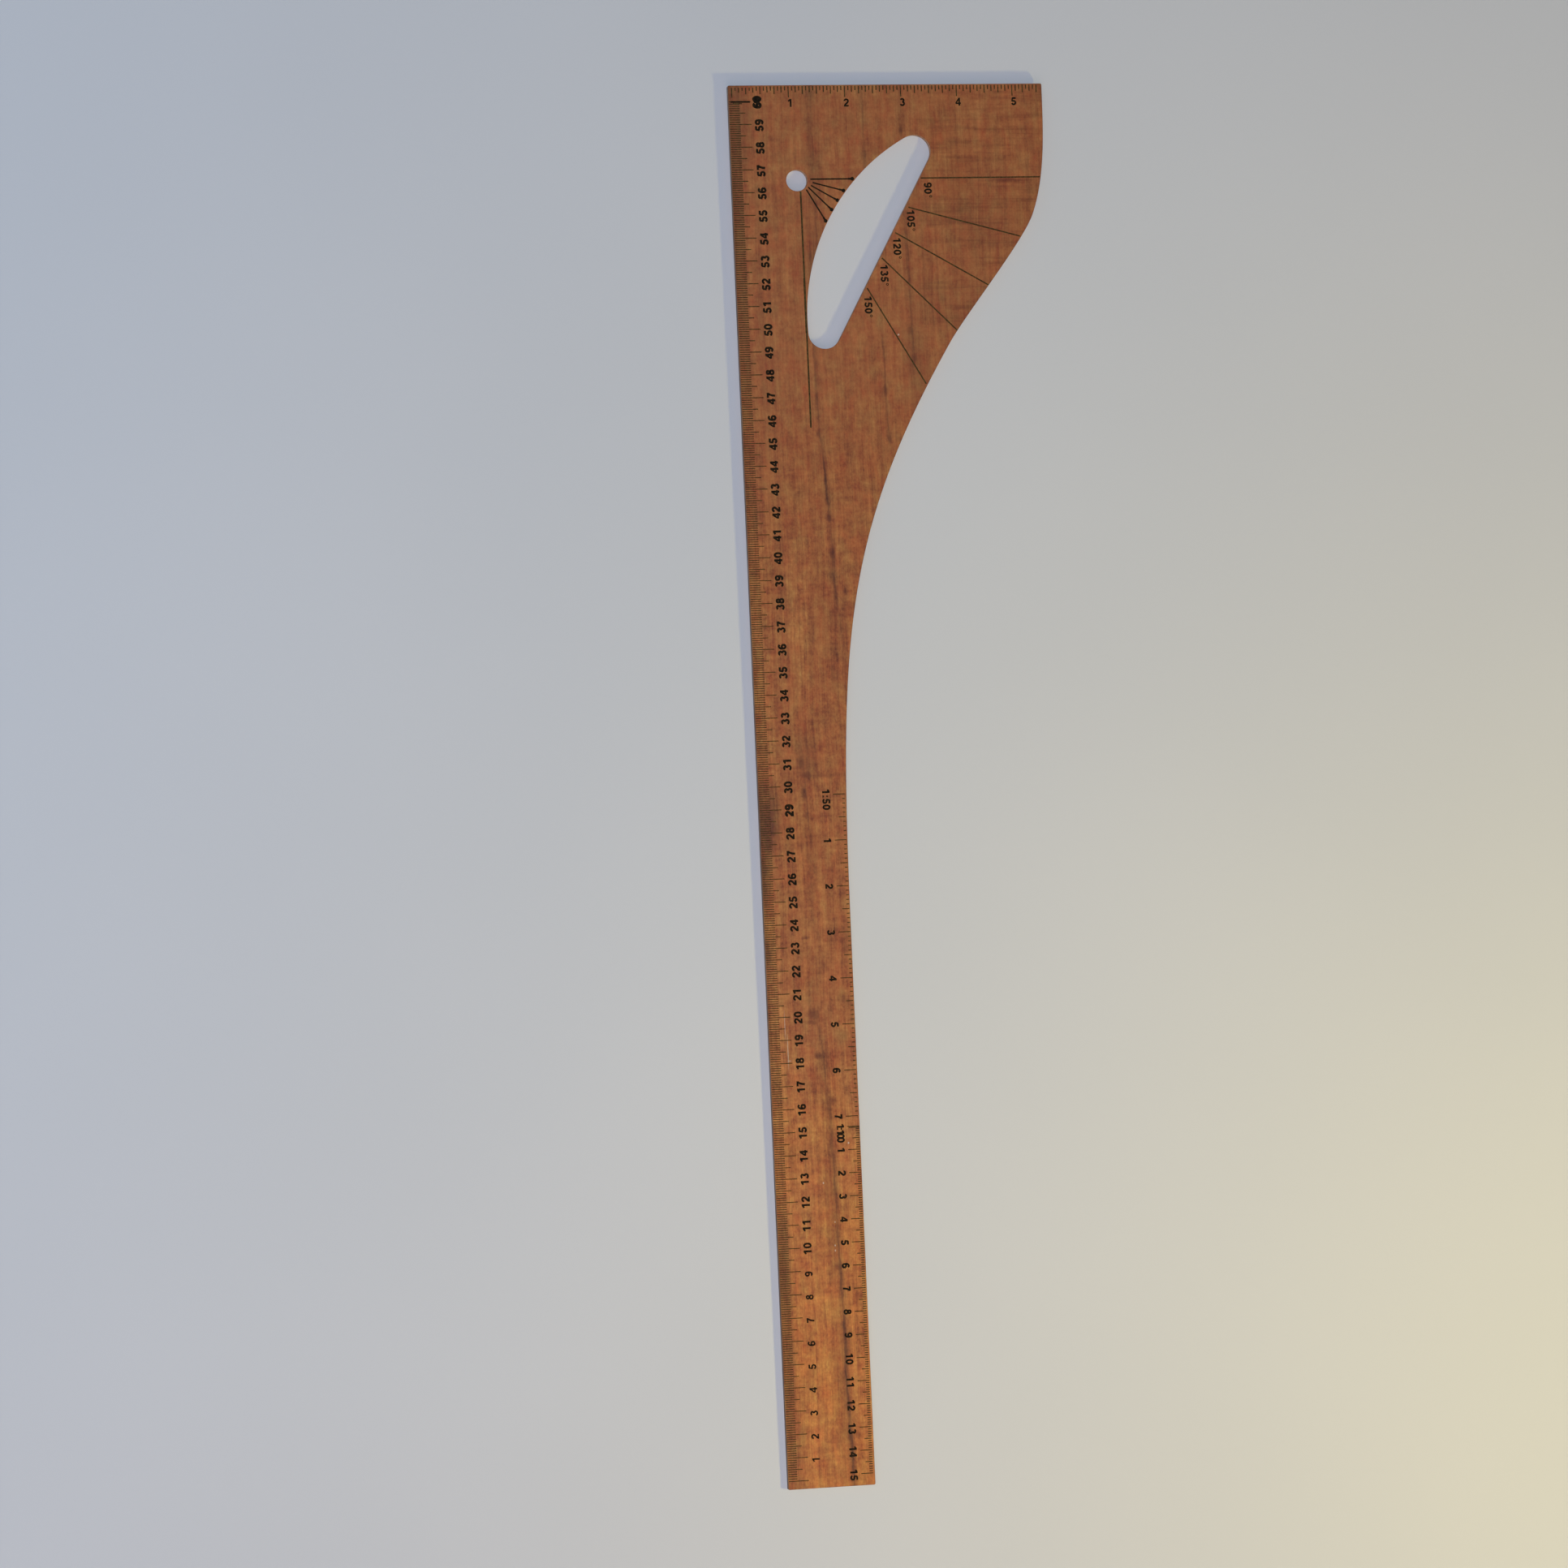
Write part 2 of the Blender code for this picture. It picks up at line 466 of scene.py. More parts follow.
def angle_rays():
    strokes = []
    for angle, slot_side, edge, near, head in RAYS:
        down = math.radians(angle - 90)
        along = Vector((math.cos(down), -math.sin(down)))
        outer = [RAY_POINT + along * slot_side, RAY_POINT + along * edge]
        inner = [RAY_POINT + along * near, RAY_POINT + along * head]
        strokes.append(Stroke(outer, RAY_WIDTH))
        strokes.append(Stroke(inner, 0.66, False, True))
        centre = RAY_POINT + along * head
        strokes.append(Stroke([centre - along * 1.9, centre], 0.9, False, True))
        strokes.append(Dot([centre], DOT_WIDTH, False, True))
    strokes.append(Stroke([(30.42, 560.2), (30.42, 456.4)], 0.74))
    strokes.append(Stroke([(30.35, 522.0), (30.35, 498.0)], 0.95))
    for label, start in RAY_LABELS:
        strokes += written(label, start, DOWNWARD, 3.45, 1.02)
    return strokes


# ---------------------------------------------------------------- meshes


def anticlockwise(loop):
    """The loop in anticlockwise order."""
    area = 0.0
    for index, point in enumerate(loop):
        area += loop[index - 1].cross(point)
    return loop if area > 0 else loop[::-1]


def tessellate(loops, strokes=()):
    """Triangles of the wood inside the first loop and outside the others.

    Returns the points, the triangles, where each loop's points are among them, and which
    triangles belong to a mark and to a mark's floor. One more line, where the band near the
    outer edge ends, keeps the triangles beside the board's edge narrow.
    """
    outlines = [list(loop) for loop in loops]
    outlines.append(shifted(OUTLINES[0], OUTER_EDGE_BAND))
    outlines += [anticlockwise(stroke.outline(0.0)) for stroke in strokes]
    outlines += [anticlockwise(stroke.outline(GROOVE_SLOPE)) for stroke in strokes]
    given, faces = [], []
    for outline in outlines:
        faces.append(list(range(len(given), len(given) + len(outline))))
        given += outline
    points, _, triangles, sources, _, owners = geometry.delaunay_2d_cdt(
        given, [], faces, 0, 1e-5, True)
    place = {}
    for index, merged in enumerate(sources):
        for source in merged:
            place[source] = index
    rims = [[place[source] for source in face] for face in faces[:len(loops)]]
    first_mark = len(loops) + 1
    first_floor = first_mark + len(strokes)
    kept, marked, floored = [], [], []
    for triangle, owner in zip(triangles, owners):
        if 0 in owner and not any(0 < face < len(loops) for face in owner):
            kept.append(tuple(triangle))
            marked.append(any(face >= first_mark for face in owner))
            floored.append(any(face >= first_floor for face in owner))
    return points, kept, rims, marked, floored


def rubbed_share(points):
    """How near each point is to the outer edge: 1 on it, 0 from OUTER_EDGE_BAND inwards."""
    ends = np.array([tuple(point) for point in OUTLINES[0]])
    starts = np.roll(ends, 1, axis=0)
    spans = ends - starts
    lengths = (spans ** 2).sum(axis=1)
    nearest = np.full(len(points), OUTER_EDGE_BAND)
    flat = np.array([(point[0], point[1]) for point in points])
    for start, span, length in zip(starts, spans, lengths):
        offset = flat - start
        along = np.clip(offset @ span / length, 0.0, 1.0)
        away = np.hypot(*(offset - along[:, None] * span).T)
        nearest = np.minimum(nearest, away)
    return 1.0 - nearest / OUTER_EDGE_BAND


def make_piece(name, points, faces, kinds, materials, smooth_kinds):
    """A mesh object from millimetre points, with a material for each kind of face."""
    used = sorted({corner for face in faces for corner in face})
    renumber = {old: new for new, old in enumerate(used)}
    mesh = bpy.data.meshes.new(name)
    mesh.from_pydata(
        [metres(points[index], points[index].z) for index in used],
        [],
        [[renumber[corner] for corner in face] for face in faces],
    )
    for material in materials:
        mesh.materials.append(material)
    mesh.polygons.foreach_set("material_index", kinds)
    mesh.polygons.foreach_set("use_smooth", [kind in smooth_kinds for kind in kinds])
    rubbed = mesh.attributes.new("rubbed", "FLOAT", "POINT")
    rubbed.data.foreach_set("value", rubbed_share([points[index] for index in used]))
    mesh.update()
    piece = bpy.data.objects.new(name, mesh)
    bpy.context.scene.collection.objects.link(piece)
    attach(piece, "root")
    return piece


FACE, CHAR, CUT, EASED = range(4)


def make_ply(name, profile, materials, strokes=()):
    """One ply. profile is its (inset, height) rows from its lower face to its upper face.

    The upper face carries the engraved strokes, if there are any, as shallow grooves.
    """
    points, faces, kinds = [], [], []

    def add_cap(inset, height, marks, upward):
        flat, triangles, rims, marked, floored = tessellate(cut_loops(inset), marks)
        start = len(points)
        deep = {corner for face, low in zip(triangles, floored) if low for corner in face}
        for index, point in enumerate(flat):
            points.append(Vector((*point, height - (GROOVE_DEPTH if index in deep else 0.0))))
        for triangle, mark in zip(triangles, marked):
            corners = [start + corner for corner in triangle]
            faces.append(corners if upward else corners[::-1])
            kinds.append(CHAR if mark else FACE)
        return [[start + corner for corner in rim] for rim in rims]

    rows = [add_cap(*profile[0], (), False)]
    for inset, height in profile[1:-1]:
        row = []
        for loop in cut_loops(inset):
            row.append(list(range(len(points), len(points) + len(loop))))
            points.extend(Vector((*point, height)) for point in loop)
        rows.append(row)
    rows.append(add_cap(*profile[-1], strokes, True))
    for level, (lower, upper) in enumerate(zip(rows, rows[1:])):
        kind = CUT if profile[level][0] == profile[level + 1][0] else EASED
        for number, (low, high) in enumerate(zip(lower, upper)):
            for index in range(len(low)):
                wall = [low[index - 1], low[index], high[index], high[index - 1]]
                faces.append(wall if number == 0 else wall[::-1])
                kinds.append(kind)
    return make_piece(name, points, faces, kinds, [*materials, materials[0]], (CUT, EASED))


def make_char(name, ceiling, strokes, material):
    """The burnt wood at the bottom of every groove, as closed slivers a little below the face."""
    flat, triangles, _, _, floored = tessellate(cut_loops(EDGE_EASE), strokes)
    floors = [face for face, low in zip(triangles, floored) if low]
    top = ceiling - GROOVE_DEPTH + CHAR_LAYER
    bottom = ceiling - GROOVE_DEPTH - CHAR_ROOT
    points = [Vector((*point, top)) for point in flat]
    points += [Vector((*point, bottom)) for point in flat]
    below = len(flat)
    faces = [list(face) for face in floors]
    faces += [[corner + below for corner in reversed(face)] for face in floors]
    sides = {(face[i - 1], face[i]) for face in floors for i in range(3)}
    for start, end in sorted(sides):
        if (end, start) not in sides:
            faces.append([start, start + below, end + below, end])
    return make_piece(name, points, faces, [0] * len(faces), [material], ())


# ---------------------------------------------------------------- material graphs


class Graph:
    """One material's nodes, added step by step."""

    def __init__(self, name):
        self.material = bpy.data.materials.new(name)
        self.material.use_nodes = True
        self.tree = self.material.node_tree
        self.shader = self.tree.nodes["Principled BSDF"]

    def link(self, value, socket):
        """Feed a socket from another node, or set it to a plain number or colour."""
        if isinstance(value, bpy.types.NodeSocket):
            self.tree.links.new(value, socket)
        else:
            socket.default_value = value

    def node(self, kind, *values, **settings):
        """A node with these settings, whose first inputs are the values."""
        made = self.tree.nodes.new(kind)
        for setting, value in settings.items():
            setattr(made, setting, value)
        for value, socket in zip(values, made.inputs):
            self.link(value, socket)
        return made

    def math(self, operation, *values):
        return self.node("ShaderNodeMath", *values, operation=operation).outputs[0]

    def vector(self, operation, *values):
        return self.node("ShaderNodeVectorMath", *values, operation=operation).outputs[0]

    def board_point(self):
        """The shaded point in board millimetres."""
        place = self.node("ShaderNodeTexCoord").outputs["Object"]
        origin = (-MARK_ORIGIN.x, -MARK_ORIGIN.y, -CAD_LOW.z * PER_METRE)
        return self.vector("MULTIPLY_ADD", place, (PER_METRE,) * 3, origin)

    def noise(self, point, per_mm, detail=3.0, roughness=0.5, seed=0.0):
        """Noise from about 0.3 to 0.7, with its cycles per millimetre along X, Y and Z."""
        stretched = self.vector("MULTIPLY_ADD", point, per_mm, (seed, seed, seed))
        made = self.node("ShaderNodeTexNoise", noise_dimensions="3D")
        self.link(stretched, made.inputs["Vector"])
        made.inputs["Scale"].default_value = 1.0
        made.inputs["Detail"].default_value = detail
        made.inputs["Roughness"].default_value = roughness
        return made.outputs["Fac"]

    def ramp(self, value, low, high, from_value=0.0, to_value=1.0):
        """A smooth step of value from low to high."""
        made = self.node("ShaderNodeMapRange", value, low, high, from_value, to_value)
        made.interpolation_type = "SMOOTHSTEP"
        return made.outputs[0]

    def blend(self, share, first, second, mode="MIX"):
        """Two colours mixed by share."""
        made = self.node("ShaderNodeMix", data_type="RGBA", blend_type=mode)
        self.link(share, made.inputs[0])
        self.link(first, made.inputs[6])
        self.link(second, made.inputs[7])
        return made.outputs[2]

    def tint(self, share, colour, by):
        """The colour multiplied by another, as far as share says."""
        return self.blend(share, colour, by, "MULTIPLY")

    def split(self, point):
        return self.node("ShaderNodeSeparateXYZ", point).outputs

    def join(self, x, y, z=0.0):
        return self.node("ShaderNodeCombineXYZ", x, y, z).outputs[0]

    def total(self, values):
        """The sum of several values."""
        result = values[0]
        for value in values[1:]:
            result = self.math("ADD", result, value)
        return result

    def varied(self, colour, parts, strength):
        """The colour made lighter and darker by (noise, amount) parts. Darker wood is redder."""
        shade = self.total([
            self.math("MULTIPLY_ADD", noise, amount, -0.5 * amount) for noise, amount in parts])
        shade = self.math("MULTIPLY", shade, strength)
        shade = self.math("MAXIMUM", self.math("ADD", shade, 1.0), 0.3)
        red = self.math("POWER", shade, 0.8)
        rest = self.math("POWER", shade, 1.2)
        return self.vector("MULTIPLY", colour, self.join(red, rest, rest))

    def finish(self, colour, roughness, height=None, depth=0.05, strength=0.6):
        """Connect the shader. depth is how far, in millimetres, the height 0 to 1 stands."""
        self.link(colour, self.shader.inputs["Base Color"])
        self.link(roughness, self.shader.inputs["Roughness"])
        if height is not None:
            bump = self.node("ShaderNodeBump")
            bump.inputs["Strength"].default_value = strength
            bump.inputs["Distance"].default_value = depth * MM
            self.link(height, bump.inputs["Height"])
            self.link(bump.outputs[0], self.shader.inputs["Normal"])
        return self.material


# ---------------------------------------------------------------- the face veneer's figure

# A streak is a dark line in the grain. Each is its (height, distance from the ruling edge)
# points, its half width and how dark it is.
STREAKS = (
    (((620, 36.0), (590, 36.0), (565, 36.0), (545, 36.6), (525, 35.5)), 2.6, 0.62),
    (((535, 33.6), (505, 33.0), (485, 33.4), (460, 34.0), (445, 35.2), (430, 36.2)), 1.0, 0.6),
    (((440, 35.6), (430, 36.1), (410, 37.3), (390, 37.8), (370, 39.4)), 1.0, 0.72),
    (((370, 39.4), (345, 40.2)), 1.2, 0.5),
    (((620, 76.4), (600, 76.6), (585, 76.4), (541, 76.8), (520, 77.2), (497, 77.4),
      (480, 77.4)), 1.2, 0.5),
    (((160, 25.6), (140, 26.0), (120, 26.5), (91, 26.9), (66, 27.6), (43, 27.8), (20, 28.4),
      (0, 29.1)), 0.9, 0.85),
    (((66, 27.7), (40, 27.9), (20, 28.5), (-8, 29.3)), 1.8, 0.4),
    (((196, 21.8), (185, 23.4), (165, 24.6), (155, 25.2)), 0.8, 0.55),
    (((262, 21.8), (210, 22.2)), 0.6, 0.25),
    (((300, 20.8), (282, 21.9), (266, 21.8)), 1.0, 0.55),
    (((620, 59.8), (575, 59.6), (560, 60.0)), 1.2, 0.5),
    (((500, 63.5), (485, 64.5), (470, 64.5), (450, 65.3)), 1.0, 0.6),
    (((620, 133.2), (580, 133.0), (540, 133.4)), 0.5, 0.25),
)

# Pin knots and stains: (distance from the ruling edge, height), half widths, how strong.
KNOTS = (
    ((76.4, 587.0), (0.9, 2.0), 0.7),
    ((77.0, 541.0), (1.0, 1.6), 0.2),
    ((77.0, 531.5), (1.2, 2.0), 0.2),
    ((77.2, 520.5), (1.2, 2.4), 0.55),
    ((76.8, 498.5), (1.4, 2.2), 0.45),
    ((78.2, 486.0), (1.1, 2.0), 0.7),
    ((64.4, 472.5), (1.1, 2.4), 0.7),
    ((65.4, 450.7), (1.2, 2.0), 0.55),
    ((34.6, 484.0), (1.2, 2.6), 0.5),
    ((33.6, 470.5), (1.0, 1.8), 0.75),
    ((33.8, 460.5), (0.9, 1.6), 0.2),
    ((33.6, 453.6), (1.1, 2.0), 0.75),
    ((35.7, 433.5), (0.8, 1.5), 0.4),
    ((36.0, 424.5), (1.1, 1.8), 0.45),
    ((36.5, 416.6), (1.4, 1.6), 0.75),
    ((37.5, 401.6), (1.4, 2.2), 0.8),
    ((37.0, 391.0), (1.4, 3.0), 0.5),
    ((42.4, 384.5), (1.0, 1.4), 0.85),
    ((30.0, 396.0), (2.0, 2.4), 0.3),
    ((92.0, 512.0), (2.0, 2.0), 0.4),
    ((88.0, 545.0), (1.4, 1.4), 0.3),
    ((124.0, 564.3), (9.0, 1.1), 0.8),
    ((100.0, 508.0), (6.0, 1.2), 0.5),
    ((97.0, 603.5), (12.0, 1.0), 0.25),
    ((19.2, 310.5), (1.6, 2.2), 0.7),
    ((21.5, 305.0), (2.4, 1.2), 0.6),
    ((30.0, 304.0), (9.0, 0.9), 0.5),
    ((20.4, 296.5), (1.2, 2.4), 0.75),
    ((22.4, 277.0), (1.0, 4.5), 0.3),
    ((22.0, 260.0), (0.8, 1.4), 0.7),
    ((17.9, 234.0), (2.1, 0.9), 0.85),
    ((25.6, 221.0), (1.2, 3.0), 0.5),
    ((19.6, 200.8), (2.6, 2.6), 0.9),
    ((19.0, 197.2), (2.0, 1.2), 0.7),
    ((23.2, 203.0), (0.9, 1.6), 0.4),
    ((21.4, 182.6), (2.0, 1.1), 0.8),
    ((26.8, 163.2), (1.9, 2.0), 0.7),
    ((33.0, 208.0), (1.8, 2.4), 0.5),
    ((33.2, 191.6), (1.8, 2.0), 0.4),
    ((17.6, 126.6), (2.6, 0.8), 0.4),
    ((34.2, 107.0), (4.2, 0.9), 0.45),
    ((11.6, 115.2), (2.2, 2.6), 0.35),
    ((25.4, 91.0), (1.9, 1.8), 0.75),
    ((22.5, 89.0), (2.4, 1.6), 0.45),
    ((26.6, 78.0), (1.0, 2.0), 0.35),
    ((34.6, 78.0), (1.8, 4.0), 0.35),
    ((27.2, 66.0), (1.3, 1.6), 0.6),
    ((26.6, 43.0), (1.6, 3.0), 0.45),
    ((23.5, 42.0), (2.0, 1.0), 0.35),
    ((27.6, 30.0), (1.4, 3.0), 0.5),
    ((28.2, 19.0), (2.2, 3.0), 0.55),
    ((32.0, 18.5), (1.6, 1.6), 0.6),
    ((28.8, 10.0), (1.4, 3.0), 0.35),
    ((12.2, 46.0), (2.6, 3.4), 0.45),
    ((14.8, 27.0), (1.8, 2.0), 0.4),
    ((15.0, 12.5), (1.6, 2.4), 0.4),
)

# Broad darker patches, given in the same way.
PATCHES = (
    ((1.5, 283.0), (4.2, 20.0), 0.85),
    ((5.0, 278.0), (4.0, 8.0), 0.4),
    ((6.8, 291.0), (3.4, 12.0), 0.5),
    ((20.0, 208.0), (3.0, 9.0), 0.3),
    ((31.5, 188.0), (4.0, 7.0), 0.3),
    ((1.2, 256.0), (2.4, 12.0), 0.6),
    ((1.2, 228.0), (1.6, 8.0), 0.75),
    ((1.5, 88.0), (3.8, 26.0), 0.5),
    ((2.0, 45.0), (3.8, 18.0), 0.3),
    ((4.0, 12.0), (4.6, 18.0), 0.18),
    ((21.0, 312.0), (5.0, 12.0), 0.45),
    ((6.5, 590.0), (3.5, 24.0), 0.42),
    ((79.0, 480.0), (6.0, 24.0), 0.33),
    ((86.0, 512.0), (8.0, 10.0), 0.3),
    ((104.0, 505.0), (14.0, 12.0), 0.25),
    ((112.0, 545.0), (22.0, 26.0), 0.16),
    ((22.5, 178.0), (3.5, 22.0), 0.15),
    ((24.0, 120.0), (3.0, 26.0), 0.22),
    ((25.6, 55.0), (3.6, 70.0), 0.25),
    ((33.0, 372.0), (6.5, 24.0), 0.12),
    ((10.5, 500.0), (1.6, 60.0), 0.22),
)

# Broad paler patches, given in the same way.
PALE_PATCHES = (
    ((21.5, 366.0), (5.0, 34.0), 0.8),
    ((6.8, 197.0), (1.6, 19.0), 0.8),
    ((7.0, 165.0), (2.2, 14.0), 0.4),
    ((7.2, 311.0), (2.6, 9.0), 0.9),
    ((7.5, 128.0), (2.5, 12.0), 0.3),
    ((3.6, 226.0), (3.6, 44.0), 0.9),
    ((3.6, 352.0), (4.0, 52.0), 0.9),
    ((3.6, 165.0), (3.0, 30.0), 0.4),
)


# Small pale flecks, given in the same way: nicks and scratches in the lacquer, with the glints
# where they catch the light painted on as a pale colour.
PALE_FLECKS_AND_GLINTS = (
    ((33.1, 144.4), (0.35, 0.45), 0.9),
    ((21.2, 127.6), (0.30, 0.45), 0.8),
    ((25.2, 100.4), (0.30, 0.40), 0.7),
    ((25.2, 98.2), (0.28, 0.45), 0.7),
    ((25.6, 110.5), (0.25, 0.35), 0.6),
    ((71.4, 496.6), (0.40, 0.40), 0.8),
    ((7.2, 196.0), (0.16, 6.0), 0.55),
    ((8.1, 185.0), (0.18, 7.0), 0.6),
    ((8.6, 181.0), (0.9, 0.2), 0.5),
)


# A streak's route is a curve whose two axes run from 0 to 1 over these lengths.
ROUTE_START = 20.0
ROUTE_LENGTH = 660.0
ROUTE_WIDTH = 150.0
STREAK_FADE = 12.0
STREAK_ONSET = 6.0


def streak_share(graph, x, y, grain, streak):
    """How strongly a streak shows at the point, from 0 to its own strength."""
    route, half_width, darkness = streak
    curve = graph.node("ShaderNodeFloatCurve")
    along = graph.math("DIVIDE", graph.math("ADD", y, ROUTE_START), ROUTE_LENGTH)
    graph.link(along, curve.inputs["Value"])
    line = curve.mapping.curves[0]
    stops = sorted(
        ((height + ROUTE_START) / ROUTE_LENGTH, across / ROUTE_WIDTH)
        for height, across in route)
    line.points[0].location = stops[0]
    line.points[1].location = stops[-1]
    for stop in stops[1:-1]:
        line.points.new(*stop)
    curve.mapping.extend = "HORIZONTAL"
    curve.mapping.update()
    centre = graph.math("MULTIPLY", curve.outputs[0], ROUTE_WIDTH)
    away = graph.math("ABSOLUTE", graph.math("SUBTRACT", x, centre))
    core = graph.ramp(away, half_width, 0.2 * half_width)
    halo = graph.ramp(away, 2.6 * half_width, 0.0, 0.0, 0.5)
    low = stops[0][0] * ROUTE_LENGTH - ROUTE_START
    high = stops[-1][0] * ROUTE_LENGTH - ROUTE_START
    ends = graph.math(
        "MULTIPLY", graph.ramp(y, low - STREAK_FADE, low + STREAK_ONSET),
        graph.ramp(y, high + STREAK_FADE, high - STREAK_ONSET))
    broken = graph.ramp(grain, 0.32, 0.64, 0.3, 1.0)
    share = graph.math("MULTIPLY", graph.math("MAXIMUM", core, halo), broken)
    return graph.math("MULTIPLY", graph.math("MULTIPLY", share, ends), darkness)


def spot_share(graph, point, spot):
    """How strongly a knot, patch, or pale fleck with its painted glint shows at the point, from 0
    to its own strength.
    """
    centre, half_widths, darkness = spot
    scale = (1.0 / half_widths[0], 1.0 / half_widths[1], 0.0)
    offset = (-centre[0] * scale[0], -centre[1] * scale[1], 0.0)
    place = graph.vector("MULTIPLY_ADD", point, scale, offset)
    distance = graph.node("ShaderNodeVectorMath", place, operation="LENGTH").outputs["Value"]
    return graph.ramp(distance, 1.5, 0.15, 0.0, darkness)


def wandering(graph, point):
    """The point moved sideways a little, so that straight grain wanders."""
    sway = graph.noise(point, (0.018, 0.0065, 0.0), 2.0, 0.5, 3.0)
    ripple = graph.noise(point, (0.11, 0.045, 0.0), 2.0, 0.5, 8.0)
    x, y, z = graph.split(point)
    moved = graph.math("MULTIPLY_ADD", sway, 7.0, x)
    moved = graph.math("MULTIPLY_ADD", ripple, 1.3, moved)
    return graph.join(moved, y, z)


# Linear colours of the lacquered veneer, and how each feature tints it.
WOOD_HEAD = (0.343, 0.110, 0.0300, 1.0)
WOOD_FOOT = (0.430, 0.140, 0.0270, 1.0)
MIDDLE_TINT = (0.95, 0.91, 0.83, 1.0)
RIM_TINT = (0.80, 0.95, 1.08, 1.0)
# Pale flecks: nicks in the lacquer, with their glints painted on.
FLECK_AND_GLINT_COLOUR = (0.620, 0.520, 0.400, 1.0)
RED_TINT = (0.76, 0.64, 0.64, 1.0)
FIGURE_TINT = (0.70, 0.64, 0.62, 1.0)
STAIN_TINT = (0.38, 0.34, 0.38, 1.0)
KNOT_TINT = (0.46, 0.33, 0.32, 1.0)
PALE_TINT = (1.14, 1.30, 1.30, 1.0)
PORE_TINT = (0.55, 0.48, 0.48, 1.0)


